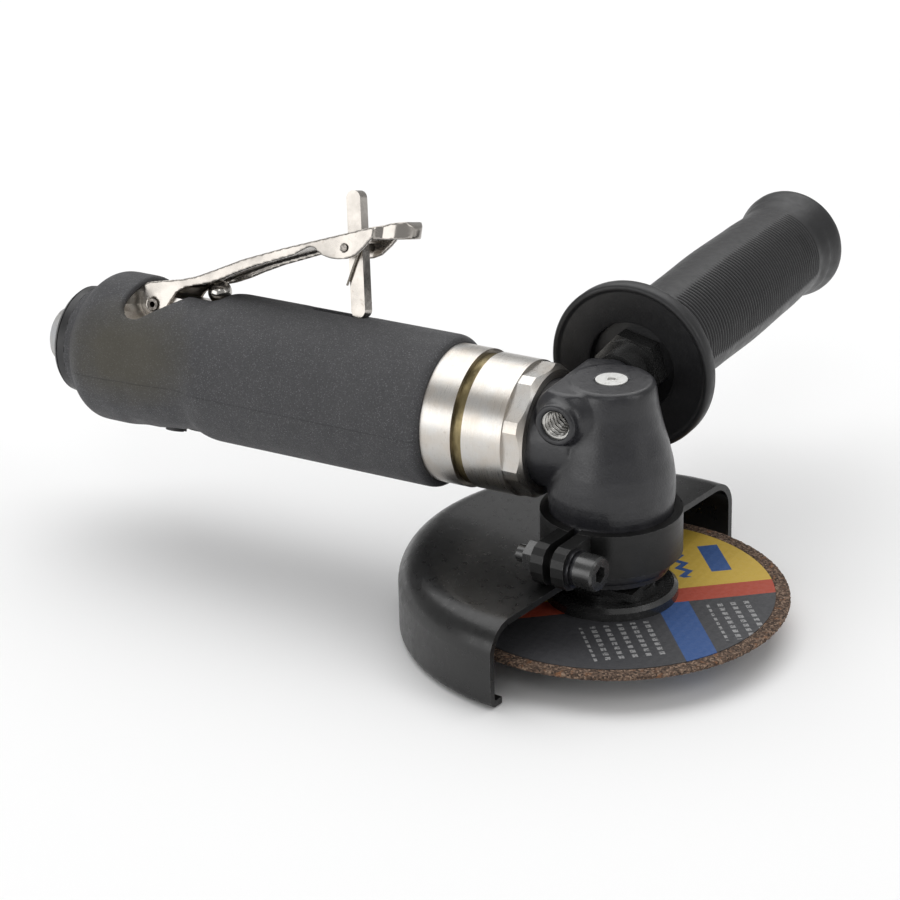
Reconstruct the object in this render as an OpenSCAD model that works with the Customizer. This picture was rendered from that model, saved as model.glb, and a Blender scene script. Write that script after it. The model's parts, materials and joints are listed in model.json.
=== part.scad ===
// Right-angle air cut-off grinder with a 4 inch wheel, an adjustable guard and a side handle.
// Origin: on the spindle axis, in the plane of the wheel's lower face. +Z runs up the spindle,
// the motor body lies along -X, and the side handle points along +Y.

/* [Wheel] */
// Outer diameter of the cutting wheel
wheel_d = 101.6; // [95:0.1:104]
// Thickness of the cutting wheel
wheel_t = 1.6; // [1.6:0.1:2.0]
// Diameter of the printed labels on both faces
label_d = 93; // [80:1:94]

/* [Body] */
// Height of the motor axis above the wheel's lower face
body_axis_z = 47.6; // [47.2:0.1:48]
// Largest radius of the rubbery grip sleeve's front part
grip_r = 22.3; // [22:0.1:23]
// Largest radius of the grip sleeve's rear bulge
bulge_r = 22.8; // [22.5:0.1:24]
// Angle that the throttle lever's plane is turned about the motor axis
lever_roll = 18; // [10:1:24]

/* [Guard] */
// Outer radius of the guard's skirt
guard_r = 60.6; // [58:0.1:64]
// Sheet thickness of the guard
guard_t = 1.9; // [1.5:0.1:2]
// Depth of the skirt's edge below the wheel's lower face
skirt_drop = 8.7; // [8.6:0.1:14]
// Turn of the guard's straight cut about the spindle
guard_turn = 8; // [0:0.5:12]
// Distance that the guard's straight cut stands in front of the spindle axis
guard_cut = 2; // [0:0.1:3]

/* [Side handle] */
// Radius of the hand grip
handle_r = 15.7; // [14:0.1:17]
// Radius of the hand stop next to the head
hand_stop_r = 25.1; // [22:0.1:26]
// Distance from the spindle plane to the free end of the handle
handle_end_y = 145; // [144:0.5:160]

/* [Hidden] */
$fn = 72;
eps = 0.01;

// Spindle and wheel stack
spindle_r = 4.75;
journal_r = 6;
bore_gap = 0.05;
label_t = 0.2;
inner_flange_r = 19;
inner_flange_t = 3.5;
outer_flange_r = 17.5;
outer_flange_t = 4;
wrench_square = 23.4;
wrench_square_t = 2.2;

// Head
nose_r = 17.6;
nose_z = [12, 28.2];
head_top_z = 67;
head_wide_r = 18.1;
neck_r = 15.4;
boss_x = -8;
boss_z = 58.7;
boss_y = 18.9;
boss_r = 6.1;
insert_r = [4.0, 4.7];
insert_depth = 12;
insert_sunk = 1;

// Motor stack along the body, from the front to the rear
nut_front_x = -18.8;
nut_hex_x = -24.8;
nut_rear_x = -37.2;
spacer_rear_x = -40.4;
ring_rear_x = -50.2;
front_plate_x = [-66, -56];
rear_plate_x = [-122, -112];
rotor_x = [-111.8, -66.2];
housing_rear_x = -176;
cap_rear_x = -180;
inlet_rear_x = -187;
housing_r = 19.4;
housing_step = [-146, 20.6];
housing_taper = 9.5;
screen_r = 5.2;
motor_bore_r = 16.6;
liner_bore_r = 13.5;
rotor_r = 12.2;
liner_offset = liner_bore_r - rotor_r - 0.1;
shaft_r = 4;
small_bearing = [4, 11, 7];
pinion_bearing = [5, 13, 9];
spindle_bearing = [6, 14, 8];

// Bevel gears: pitch radii, teeth and the apex scale of their inner ends
gear_teeth = 18;
pinion_teeth = 12;
gear_r = 13.5;
pinion_r = gear_r * pinion_teeth / gear_teeth;
gear_taper = 0.72;

// Throttle, in the lever's own plane: x along the body, w up from the motor axis
lever_pivot = [-151, 15.1];
lock_pivot = [-88.1, 41.7];
lever_half = 8.5;
ear_t = 1.5;
web_t = 1.5;
lever_pin_r = 1.8;
lock_pin_r = 1.0;
valve_x = -133.4;
button_r = 3.6;
button_w = 21.5;
valve_bore_r = 4.2;
lock_tilt = 11.3;
lock_bar = [4.6, 4.2];
lock_up = 16.6;
lock_down = 20.4;
saddle_w = 18.2;
pocket_rear_x = -156.6;
regulator_x = -143;
regulator_r = 3.2;

// Guard and clamp
guard_top_z = 15.6;
guard_bend_r = 9;
collar_r = [nose_r + bore_gap, 20.2];
collar_z = [guard_top_z, 28.4];
clamp_azimuth = -95.5;
clamp_r = 27.4;
clamp_z = 22;
clamp_gap = 2.6;
clamp_ear_t = 4;
clamp_screw_r = 2.5;

// Side handle
hand_stop_y = [28, 32.5];
handle_recess = [13, 3.5];
stud_r = 3.95;

// Helpers ------------------------------------------------------------------------------------

// Cylinder along the body, between two places on the X axis at the motor's height
module along_body(x0, x1, r) {
    translate([min(x0, x1), 0, body_axis_z]) rotate([0, 90, 0]) cylinder(r = r, h = abs(x1 - x0));
}

// Cylinder up the spindle axis
module up_spindle(z0, z1, r) {
    translate([0, 0, z0]) cylinder(r = r, h = z1 - z0);
}

// Cylinder along the side handle's axis
module along_handle(y0, y1, r) {
    translate([boss_x, y1, boss_z]) rotate([90, 0, 0]) cylinder(r = r, h = y1 - y0);
}

// Turns a half profile, given as points of radius and distance, about the handle's axis
module turned_handle(points) {
    translate([boss_x, 0, boss_z]) rotate([-90, 0, 0]) rotate_extrude() polygon(points);
}

// Puts children drawn in (x, v, w) into the lever's rolled plane
module in_lever_plane() {
    translate([0, 0, body_axis_z]) rotate([-lever_roll, 0, 0]) children();
}

// Extrudes a flat outline in x and w across the lever's plane from v0 to v1
module across_lever(v0, v1) {
    translate([0, v1, 0]) rotate([90, 0, 0]) linear_extrude(v1 - v0) children();
}

// Round hole or pin across the lever's plane
module pin_across(at, v0, v1, r) {
    across_lever(v0, v1) translate(at) circle(r = r);
}

// Cylinder on the valve's axis
module on_valve(w0, w1, r) {
    translate([valve_x, 0, w0]) cylinder(r = r, h = w1 - w0);
}

// Ring with a rectangular section up its own Z axis
module ring(r_in, r_out, h) {
    difference() {
        cylinder(r = r_out, h = h);
        translate([0, 0, -1]) cylinder(r = r_in, h = h + 2);
    }
}

// Outer race of a ball bearing: [bore radius, outer radius, width]
module race_outer(size) {
    mid = (size[0] + size[1]) / 2;
    ball = (size[1] - size[0]) * 0.3;
    difference() {
        cylinder(r = size[1], h = size[2]);
        translate([0, 0, -1]) cylinder(r = mid + ball * 0.55, h = size[2] + 2);
        translate([0, 0, size[2] / 2]) rotate_extrude() translate([mid, 0]) circle(r = ball, $fn = 32);
    }
}

// Inner race of a ball bearing with its balls
module race_inner(size, balls) {
    mid = (size[0] + size[1]) / 2;
    ball = (size[1] - size[0]) * 0.3;
    difference() {
        cylinder(r = mid - ball * 0.55, h = size[2]);
        translate([0, 0, -1]) cylinder(r = size[0], h = size[2] + 2);
    }
    for (i = [0 : balls - 1])
        rotate([0, 0, 360 * i / balls]) translate([mid, 0, size[2] / 2]) sphere(r = ball - 0.15, $fn = 24);
}

// Stands a bearing on the motor's axis with its front or rear face at x
module bearing_on_body(x) {
    translate([x, 0, body_axis_z]) rotate([0, 90, 0]) children();
}

// Smooth step from 0 to 1 as t goes from 0 to 1
function smooth(t) = let (c = min(max(t, 0), 1)) c * c * (3 - 2 * c);

// Distance from the spindle axis to the rear end of the housing and its sleeve
rear_u = -housing_rear_x;

// Lengths of the sleeve's rounded rear shoulder and of the neck behind it, and the neck's radius
rear_round = 8.5;
rear_neck = 2.6;
neck_end_r = 16.6;

// Radius of the grip sleeve at a distance u behind the spindle axis
function sleeve_radius(u) =
    u > rear_u - rear_neck - rear_round
        ? bulge_r - (bulge_r - neck_end_r) * pow((u - rear_u + rear_neck) / rear_round + 1, 2.2)
    : grip_r - 1.6 * pow(min(max(u - 124, 0) / 7, 1), 2) + 1.3 * smooth((u - 134) / 14)
      + (bulge_r - grip_r + 0.3) * smooth((u - 150) / 8);

// Centre line of a coil round the Z axis that ends at the angle 180, at height 0
function coil_line(r, pitch, turns) = [
    for (i = [0 : 16 * turns]) let (a = 180 + 22.5 * (i - 16 * turns))
        [r * cos(a), r * sin(a), pitch * (i / 16 - turns)]
];

// Direction of a line of points at point i
function along(line, i) =
    let (d = line[min(i + 1, len(line) - 1)] - line[max(i - 1, 0)]) d / norm(d);

// Eight-sided wire along a line of points that stays roughly square to the Z axis
module wire_along(line, r) {
    sides = 8;
    rings = len(line);
    polyhedron(
        points = [for (i = [0 : rings - 1])
            let (t = along(line, i), c = cross(t, [0, 0, 1]), n = c / norm(c), b = cross(n, t))
            for (j = [0 : sides - 1]) line[i] + r * (cos(45 * j) * n + sin(45 * j) * b)],
        faces = concat(
            [[for (j = [0 : sides - 1]) j]],
            [for (i = [0 : rings - 2]) for (j = [0 : sides - 1]) let (k = (j + 1) % sides)
                [i * sides + j, (i + 1) * sides + j, (i + 1) * sides + k, i * sides + k]],
            [[for (j = [sides - 1 : -1 : 0]) (rings - 1) * sides + j]]
        )
    );
}

// Outline of a bevel gear's large end
module tooth_ring(teeth, r, root, tip) {
    step = 360 / teeth;
    polygon([
        for (i = [0 : teeth - 1]) for (p = [[-0.27, root], [-0.10, tip], [0.10, tip], [0.27, root]])
            (r + p[1]) * [cos(step * (i + p[0])), sin(step * (i + p[0]))]
    ]);
}

// Bevel teeth that taper towards the point where the two axes cross
module bevel_teeth(teeth, r, root, tip, apex) {
    linear_extrude(apex * (1 - gear_taper), scale = gear_taper) tooth_ring(teeth, r, root, tip);
}

// Body: grip, housing and inlet --------------------------------------------------------------

// Pocket beside the lever's ears and the saddle above the lug, cut in the housing
module lever_cuts(margin) {
    ear_pocket = [
        [pocket_rear_x, 17], [-156.5, 14.4], [-155.6, 12.4], [-154, 11], [-151.8, 10.5],
        [-149.4, 10.8], [-147.6, 11.9], [-140.7, 17.4], [-133, 24], [-133, 34], [pocket_rear_x, 34]
    ];
    saddle_x = pocket_rear_x - margin;
    in_lever_plane() {
        for (side = [-1, 1])
            across_lever(side > 0 ? 7 - eps : -26, side > 0 ? 26 : -7 + eps)
                offset(r = margin) polygon(ear_pocket);
        across_lever(-7.2, 7.2)
            polygon([[saddle_x, saddle_w], [-128, saddle_w], [-128, 34], [saddle_x, 34]]);
    }
}

// Notch that the lock lever's foot swings through
module lock_notch() {
    in_lever_plane() across_lever(-3.2, 3.2)
        polygon([[-105, 23.5], [-102, 21], [-100, 19.6], [-98, 18.8], [-95.5, 18.25],
            [-91.5, 18.25], [-89, 18.7], [-87, 19.3], [-85, 20.1], [-81.6, 21.9], [-81.6, 26],
            [-105, 26]]);
}

module grip_sleeve() {
    front_u = -ring_rear_x;
    shoulder_u = rear_u - rear_neck - rear_round;
    outer = [for (u = [front_u + 2.5 : 2 : shoulder_u - 0.5]) [sleeve_radius(u), -u]];
    rear = [for (a = [0 : 6 : 90]) let (u = shoulder_u + rear_round * sin(a)) [sleeve_radius(u), -u]];
    lip = [for (a = [0 : 18 : 72]) [grip_r - 2 + 2 * sin(a), -front_u - 2.5 * (1 - cos(a))]];
    color([0.24, 0.24, 0.25]) difference() {
        translate([0, 0, body_axis_z]) rotate([0, 90, 0]) rotate_extrude()
            polygon(concat([[housing_r, -front_u]], lip, outer, rear,
                [[neck_end_r, -rear_u], [13.6, -rear_u], [housing_step[1], housing_taper - rear_u],
                    [housing_step[1], housing_step[0]],
                    [housing_r, housing_step[0] + 1]]));
        lever_cuts(-0.3);
        lock_notch();
        in_lever_plane() {
            on_valve(0, 30, valve_bore_r + 1.2);
            on_valve(-30, 0, valve_bore_r + 0.8);
            translate([regulator_x, 0, -30]) cylinder(r = regulator_r + 0.8, h = 20);
        }
    }
}

module motor_housing() {
    color([0.72, 0.70, 0.67]) difference() {
        translate([0, 0, body_axis_z]) rotate([0, 90, 0]) rotate_extrude()
            polygon([[0, ring_rear_x], [housing_r, ring_rear_x], [housing_r, housing_step[0] + 1],
                [housing_step[1], housing_step[0]], [housing_step[1], housing_rear_x + housing_taper],
                [13.6, housing_rear_x], [0, housing_rear_x]]);
        along_body(rear_plate_x[0], ring_rear_x + 1, motor_bore_r);
        along_body(housing_rear_x - 1, -162, 7);
        along_body(-163, valve_x, 4);
        in_lever_plane() {
            on_valve(-30, 30, valve_bore_r);
            translate([0, 0, 8]) rotate([0, 90, 0]) translate([0, 0, valve_x])
                cylinder(r = 2.6, h = 14);
            translate([regulator_x, 0, -30]) cylinder(r = regulator_r + bore_gap, h = 28);
            for (a = [60, 120, 240, 300])
                rotate([a, 0, 0]) translate([housing_rear_x - 1, 0, 11.2])
                    rotate([0, 90, 0]) cylinder(r = 1.8, h = 58, $fn = 24);
        }
        translate([housing_rear_x - 1, 0, body_axis_z]) rotate([0, 90, 0]) ring(8.4, 13, 3);
        lever_cuts(0);
        lock_notch();
        in_lever_plane() pin_across(lever_pivot, -10, 10, lever_pin_r);
    }
}

module rear_cap() {
    color([0.16, 0.16, 0.17]) difference() {
        translate([0, 0, body_axis_z]) rotate([0, 90, 0]) rotate_extrude()
            polygon([[7.05, housing_rear_x], [16.3, housing_rear_x], [16.3, cap_rear_x + 1.7],
                [15.9, cap_rear_x + 1.5], [15.9, cap_rear_x + 1.3], [16.2, cap_rear_x + 1.1],
                [15.3, cap_rear_x], [7.05, cap_rear_x]]);
        for (a = [0 : 30 : 330])
            translate([cap_rear_x - 1, 0, body_axis_z]) rotate([a, 0, 0]) translate([0, 0, 11.6])
                rotate([0, 90, 0]) cylinder(r = 1.1, h = 6, $fn = 24);
    }
}

module muffler_felt() {
    color([0.55, 0.52, 0.45]) translate([housing_rear_x, 0, body_axis_z]) rotate([0, 90, 0])
        ring(8.4, 13, 2);
}

module inlet_bushing() {
    color([0.70, 0.68, 0.65]) difference() {
        union() {
            along_body(cap_rear_x, -164, 7);
            intersection() {
                translate([inlet_rear_x, 0, body_axis_z]) rotate([0, 90, 0]) rotate([0, 0, 90])
                    cylinder(r = 16.5 / sqrt(3), h = cap_rear_x - inlet_rear_x, $fn = 6);
                translate([inlet_rear_x, 0, body_axis_z]) rotate([0, 90, 0])
                    cylinder(r1 = 8.3, r2 = 14.5, h = cap_rear_x - inlet_rear_x + eps);
            }
        }
        along_body(inlet_rear_x - 1, -172, 5.6);
        along_body(-173, -171, screen_r);
        along_body(-172, -163, 4);
    }
}

module inlet_screen() {
    color([0.8, 0.78, 0.7]) difference() {
        along_body(-172, -171, screen_r);
        for (x = [-1 : 1]) for (y = [-1 : 1])
            translate([-173, 2.2 * x, body_axis_z + 2.2 * y]) rotate([0, 90, 0])
                cylinder(r = 0.7, h = 3, $fn = 16);
    }
}

// Air motor ----------------------------------------------------------------------------------

module cylinder_liner() {
    color([0.60, 0.61, 0.63]) difference() {
        along_body(rear_plate_x[1], front_plate_x[0], motor_bore_r);
        translate([0, 0, -liner_offset]) along_body(-113, -65, liner_bore_r);
        for (x = [-100, -89, -78])
            translate([x, 0, body_axis_z - 20]) cylinder(r = 2, h = 8, $fn = 24);
    }
}

module front_plate() {
    color([0.66, 0.66, 0.68]) difference() {
        along_body(front_plate_x[0], front_plate_x[1], motor_bore_r);
        along_body(front_plate_x[1] - small_bearing[2], -50, small_bearing[1]);
        along_body(-70, -50, shaft_r + 1);
    }
}

module rear_plate() {
    color([0.66, 0.66, 0.68]) difference() {
        along_body(rear_plate_x[0], rear_plate_x[1], motor_bore_r);
        along_body(-125, rear_plate_x[0] + small_bearing[2], small_bearing[1]);
        along_body(-125, -105, shaft_r + 1);
    }
}

module rear_bearing_outer() {
    color([0.75, 0.76, 0.78]) bearing_on_body(rear_plate_x[0]) race_outer(small_bearing);
}

module front_bearing_outer() {
    color([0.75, 0.76, 0.78]) bearing_on_body(front_plate_x[1] - small_bearing[2])
        race_outer(small_bearing);
}

module rear_bearing_inner() {
    color([0.78, 0.79, 0.80]) bearing_on_body(rear_plate_x[0]) race_inner(small_bearing, 7);
}

module front_bearing_inner() {
    color([0.78, 0.79, 0.80]) bearing_on_body(front_plate_x[1] - small_bearing[2])
        race_inner(small_bearing, 7);
}

// Five radial slots for the vanes
module vane_slots(width, r_in, r_out, length) {
    for (i = [0 : 4])
        rotate([72 * i, 0, 0]) translate([0, -width / 2, r_in]) cube([length, width, r_out - r_in]);
}

module rotor() {
    color([0.50, 0.51, 0.53]) {
        difference() {
            along_body(rotor_x[0], rotor_x[1], rotor_r);
            translate([rotor_x[0] - 1, 0, body_axis_z]) vane_slots(1.8, 6, 14, 48);
        }
        along_body(rear_plate_x[0] + 0.5, rotor_x[0], shaft_r);
        along_body(rotor_x[1], -56, shaft_r);
        along_body(-56, -47, 2.5);
    }
}

module rotor_vanes() {
    color([0.45, 0.30, 0.18])
        translate([rotor_x[0] + 0.4, 0, body_axis_z]) vane_slots(1.6, 6.4, 12.1, 44.8);
}

module front_retainer() {
    color([0.74, 0.72, 0.69]) difference() {
        union() {
            along_body(ring_rear_x, spacer_rear_x, 20.1);
            along_body(-56, ring_rear_x, motor_bore_r);
            along_body(spacer_rear_x, -27.2, 17.2);
        }
        along_body(-57, -20, 8.5);
        along_body(-37.5, -20, pinion_bearing[1]);
    }
}

module spacer_ring() {
    color([0.55, 0.45, 0.25]) translate([spacer_rear_x, 0, body_axis_z]) rotate([0, 90, 0])
        ring(17.2, 18.8, nut_rear_x - spacer_rear_x);
}

module coupling_nut() {
    flat_r = 18.3;
    color([0.74, 0.72, 0.69]) difference() {
        union() {
            along_body(nut_rear_x, nut_hex_x, 19.6);
            intersection() {
                translate([nut_hex_x, 0, body_axis_z]) rotate([0, 90, 0]) rotate([0, 0, 22.5])
                    cylinder(r = flat_r / cos(22.5), h = nut_front_x - nut_hex_x, $fn = 8);
                translate([0, 0, body_axis_z]) rotate([0, 90, 0]) rotate_extrude()
                    polygon([[0, nut_hex_x], [19.2, nut_hex_x], [19.2, nut_front_x - 1.6],
                        [17.8, nut_front_x], [0, nut_front_x]]);
            }
        }
        along_body(-40, -21, 17.25);
        along_body(-40, -15, neck_r + 0.1);
    }
}

module pinion_bearing_outer() {
    color([0.75, 0.76, 0.78]) bearing_on_body(-37.5) race_outer(pinion_bearing);
}

module pinion_bearing_inner() {
    color([0.78, 0.79, 0.80]) bearing_on_body(-37.5) race_inner(pinion_bearing, 8);
}

module bevel_pinion() {
    color([0.48, 0.48, 0.50]) difference() {
        union() {
            translate([-gear_r, 0, body_axis_z]) rotate([0, 90, 0])
                bevel_teeth(pinion_teeth, pinion_r, -1.1, 0.8, gear_r);
            along_body(-20, -gear_r, 7.6);
            along_body(-55.5, -20, pinion_bearing[0]);
        }
        along_body(-57, -46, 2.6);
    }
}

// Head ---------------------------------------------------------------------------------------

module head_housing() {
    color([0.13, 0.13, 0.14]) difference() {
        union() {
            rotate_extrude() polygon([[0, nose_z[0]], [nose_r, nose_z[0]], [nose_r, nose_z[1]],
                [16.9, nose_z[1] + 0.2], [17.4, nose_z[1] + 0.8], [17.9, 32], [head_wide_r, 35],
                [17.9, 39], [17.4, 42.8], [16.1, 48.4], [14.5, 54], [13.3, 59.5], [12.7, 64.2],
                [12.3, 66], [11.4, head_top_z], [0, head_top_z]]);
            along_body(-21, -6, neck_r);
            along_body(-27, -21, 17.2);
            for (side = [-1, 1]) intersection() {
                translate([boss_x, 0, boss_z]) rotate([side * -90, 0, 0]) rotate_extrude()
                    polygon([[0, 0], [9.2, 0], [9.2, 12.4], [8.7, 13.5], [7.4, 14.5],
                        [6.5, 15.6], [boss_r, 16.6], [boss_r, boss_y - 0.4],
                        [boss_r - 0.4, boss_y], [0, boss_y]]);
                translate([-30, -30, 40]) cube([60, 60, head_top_z - 40.6]);
            }
        }
        // Gear chamber, spindle bearing seat, top bush seat and grease hole
        rotate_extrude() polygon([[0, 10], [14, 10], [14, 22], [15.2, 22], [15.2, 42],
            [11, 50], [8.5, 54], [7, 54], [7, 63], [3, 63.2], [3, 64.5], [4.5, 64.5],
            [4.5, 68], [0, 68]]);
        along_body(-40, -8, 10.9);
        for (side = [-1, 1])
            along_handle(side > 0 ? boss_y - insert_depth : insert_sunk - boss_y,
                side > 0 ? boss_y - insert_sunk : insert_depth - boss_y, insert_r[1]);
        along_handle(-boss_y - 1, insert_depth - boss_y, insert_r[0] + 0.1);
        along_handle(boss_y - insert_depth, boss_y + 1, insert_r[0] + 0.1);
    }
}

module grease_fitting() {
    color([0.86, 0.86, 0.84]) difference() {
        union() {
            up_spindle(64.5, head_top_z + 0.1, 4.5);
            up_spindle(63.2, 64.5, 3);
        }
        up_spindle(65.6, 70, 1.2);
    }
    color([0.7, 0.65, 0.4]) up_spindle(65.7, 66.6, 1.0);
}

module thread_inserts() {
    color([0.74, 0.73, 0.70]) for (side = [-1, 1])
        difference() {
            along_handle(side > 0 ? boss_y - insert_depth : insert_sunk - boss_y,
                side > 0 ? boss_y - insert_sunk : insert_depth - boss_y, insert_r[1]);
            along_handle(-40, 40, insert_r[0]);
        }
}

module spindle_top_bush() {
    color([0.62, 0.50, 0.28]) translate([0, 0, 55]) ring(spindle_r + bore_gap, 7, 7.5);
}

module spindle_bearing_outer() {
    color([0.75, 0.76, 0.78]) translate([0, 0, 14]) race_outer(spindle_bearing);
}

module spindle_bearing_inner() {
    color([0.78, 0.79, 0.80]) translate([0, 0, 14]) race_inner(spindle_bearing, 8);
}

module bearing_cap() {
    color([0.15, 0.15, 0.16]) difference() {
        union() {
            up_spindle(10.2, 12, 16.2);
            up_spindle(12, 14, 14);
        }
        up_spindle(9, 15, 9.6);
        for (a = [0 : 90 : 270]) rotate([0, 0, a + 45]) translate([13, 0, 9])
            cylinder(r = 1.2, h = 2.4, $fn = 24);
    }
}

// Throttle valve -----------------------------------------------------------------------------

module valve_bushing() {
    color([0.66, 0.55, 0.30]) in_lever_plane() translate([valve_x, 0, 11]) ring(1.65, valve_bore_r, 4);
}

module valve_seat() {
    color([0.10, 0.10, 0.10]) in_lever_plane() translate([valve_x, 0, -5.8])
        ring(2.2, valve_bore_r, 1.6);
}

module valve_button() {
    color([0.72, 0.71, 0.69]) in_lever_plane() {
        translate([valve_x, 0, button_w]) sphere(r = button_r, $fn = 48);
        on_valve(-6, button_w - 3, 1.6);
        on_valve(-7.6, -5.85, 3.2);
    }
}

module valve_spring() {
    color([0.7, 0.7, 0.68]) in_lever_plane() translate([valve_x, 0, -15.9])
        wire_along([for (p = coil_line(2.4, 1.6, 5)) p + [0, 0, 8]], 0.35);
}

module valve_plug() {
    color([0.12, 0.12, 0.12]) in_lever_plane() difference() {
        union() {
            on_valve(-19.6, -16.4, valve_bore_r);
            on_valve(-20.4, -19.6, valve_bore_r + 0.4);
        }
        translate([valve_x - 6, -0.6, -21]) cube([12, 1.2, 1.6]);
    }
}

module speed_regulator() {
    color([0.15, 0.15, 0.15]) in_lever_plane() translate([regulator_x, 0, -22.1]) difference() {
        cylinder(r = regulator_r, h = 19.1);
        translate([-5, -0.6, -1]) cube([10, 1.2, 2.2]);
        translate([0, 0, 6]) ring(regulator_r - 0.7, regulator_r + 1, 1.6);
    }
}

// Throttle lever and lock --------------------------------------------------------------------

// Upper line of the lever's web, from the rear to the tip
web_line = [[-155.4, 19.7], [-154.3, 21.2], [-151.7, 22.0], [-142.1, 24.1], [-137, 25.8],
    [-131.5, 28.4], [-121.8, 33.2], [-108.3, 38.6], [-88.6, 45.8], [-74.6, 50.9], [-71.3, 51.7],
    [-69.5, 50.7], [-69.1, 48.7]];

// Lower line of the lever's side flanges, from the rear pivot ear to the front ear
flange_line = [[-155.6, 16.6], [-155, 13.4], [-153.4, 11.8], [-151, 11.3], [-148.6, 11.9],
    [-146.8, 13.4], [-144.9, 17], [-143.4, 19.8], [-140.6, 21.8], [-132.7, 24.3], [-128, 26.4],
    [-123.6, 28.8], [-117, 32], [-105, 36.9], [-100, 40.2], [-98.4, 40.2], [-95.4, 38.4],
    [-92.4, 37.9], [-90, 38], [-87, 38.6], [-84.3, 40], [-81.6, 43], [-79.2, 46.4]];

// Direction of the web's normal at point i of its line
function web_normal(i) =
    let (a = web_line[max(i - 1, 0)], b = web_line[min(i + 1, len(web_line) - 1)], d = b - a)
    [-d[1], d[0]] / norm(d);

// Plan outline of the lever's rounded tip, drawn in by inset
module tip_outline(inset) {
    tip_r = 6.2 - inset;
    tip_x = -75.2;
    polygon([[-80.01, -lever_half + inset], [-77.5, -tip_r], [tip_x, -tip_r], [tip_x, tip_r],
        [-77.5, tip_r], [-80.01, lever_half - inset]]);
    translate([tip_x, 0]) circle(r = tip_r);
}

module lever_web() {
    under = [for (i = [len(web_line) - 1 : -1 : 0]) web_line[i] - web_t * web_normal(i)];
    intersection() {
        across_lever(-lever_half, lever_half) polygon(concat(web_line, under));
        translate([0, 0, 5]) linear_extrude(60) {
            translate([-160, -lever_half]) square([80, 2 * lever_half]);
            tip_outline(0);
        }
    }
}

// Edge turned down round the tip
module lever_rim() {
    intersection() {
        across_lever(-lever_half, lever_half) polygon([[-79.5, 45.2], [-69, 47], [-69, 50],
            [-71.3, 51.3], [-74.6, 50.4], [-79.5, 48.6]]);
        translate([0, 0, 5]) linear_extrude(60) difference() {
            tip_outline(0);
            tip_outline(ear_t);
        }
    }
}

module lever_flange() {
    upper = [for (i = [9 : -1 : 1]) web_line[i] - 0.4 * web_normal(i)];
    intersection() {
        across_lever(0, ear_t) polygon(concat(flange_line, upper));
        translate([-160, -5, 5]) cube([80.8, 10, 60]);
    }
}

module throttle_lever() {
    color([0.78, 0.75, 0.71]) in_lever_plane() difference() {
        union() {
            lever_web();
            lever_rim();
            translate([0, -lever_half, 0]) lever_flange();
            translate([0, lever_half - ear_t, 0]) lever_flange();
        }
        translate([-95, -2.9, 30]) cube([21.4, 5.8, 30]);
        pin_across(lever_pivot, -10, 10, lever_pin_r + bore_gap);
        pin_across(lock_pivot, -10, 10, lock_pin_r);
    }
}

module lever_pin() {
    color([0.35, 0.34, 0.33]) in_lever_plane() difference() {
        pin_across(lever_pivot, -8.8, 8.8, lever_pin_r);
        pin_across(lever_pivot, -9, 9, 0.9);
    }
}

module lock_pin() {
    color([0.40, 0.38, 0.36]) in_lever_plane()
        pin_across(lock_pivot, -8.7, 8.7, lock_pin_r);
}

module lock_lever() {
    half = lock_bar[0] / 2;
    color([0.78, 0.75, 0.71]) in_lever_plane()
        across_lever(-lock_bar[1] / 2, lock_bar[1] / 2)
            translate(lock_pivot) rotate(lock_tilt) difference() {
                union() {
                    translate([-half, half - lock_down])
                        square([lock_bar[0], lock_up + lock_down - lock_bar[0]]);
                    translate([0, half - lock_down]) circle(r = half);
                    translate([0, lock_up - half]) circle(r = half);
                }
                circle(r = lock_pin_r + bore_gap);
            }
}

module lock_spring() {
    line = concat(coil_line(1.7, 0.85, 3), [[-1.5, -1.5, 0], [0.5, -5.5, 0], [2.9, -10.8, 0]]);
    color([0.62, 0.55, 0.45]) in_lever_plane() translate([lock_pivot[0], 0, lock_pivot[1]])
        rotate([0, -lock_tilt, 0]) translate([0, -2.75, 0]) rotate([90, 0, 0])
            rotate([0, 180, 0]) wire_along(line, 0.35);
}

// Spindle, gear and wheel --------------------------------------------------------------------

module spindle() {
    color([0.55, 0.55, 0.57]) {
        up_spindle(-8.2, 9.5, spindle_r);
        up_spindle(9.5, 40, journal_r);
        up_spindle(40, 62.2, spindle_r);
    }
}

module bevel_gear() {
    color([0.48, 0.48, 0.50]) difference() {
        union() {
            translate([0, 0, body_axis_z - pinion_r]) rotate([0, 0, 10])
                bevel_teeth(gear_teeth, gear_r, -1.5, 1.1, pinion_r);
            translate([0, 0, 31]) cylinder(r1 = 9.5, r2 = 12.3, h = body_axis_z - pinion_r - 31);
            up_spindle(22, body_axis_z - pinion_r + 1.5, 9.5);
        }
        up_spindle(20, 45, journal_r);
    }
}

module gear_circlip() {
    color([0.3, 0.3, 0.31]) translate([0, 0, 41.3]) difference() {
        ring(spindle_r, 6.6, 0.9);
        translate([0, -1, -1]) cube([8, 2, 3]);
    }
}

module inner_flange() {
    color([0.14, 0.14, 0.15]) difference() {
        union() {
            rotate_extrude() polygon([[0, wheel_t], [inner_flange_r, wheel_t],
                [inner_flange_r, wheel_t + 2.4], [inner_flange_r - 1.2, wheel_t + inner_flange_t],
                [inner_flange_r - 4, wheel_t + inner_flange_t - 0.5],
                [0, wheel_t + inner_flange_t - 0.5]]);
            up_spindle(wheel_t, 9.4, 9);
            rotate([0, 0, 2]) translate([-wrench_square / 2, -wrench_square / 2, 6])
                cube([wrench_square, wrench_square, wrench_square_t]);
            up_spindle(4.5, 6.1, 12.5);
        }
        up_spindle(0, 20, spindle_r);
    }
}

module cutting_wheel() {
    color([0.36, 0.28, 0.24]) difference() {
        union() {
            up_spindle(label_t, wheel_t - label_t, wheel_d / 2);
            ring(label_d / 2 + 0.2, wheel_d / 2, wheel_t);
        }
        up_spindle(-1, 4, 6);
    }
}

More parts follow.
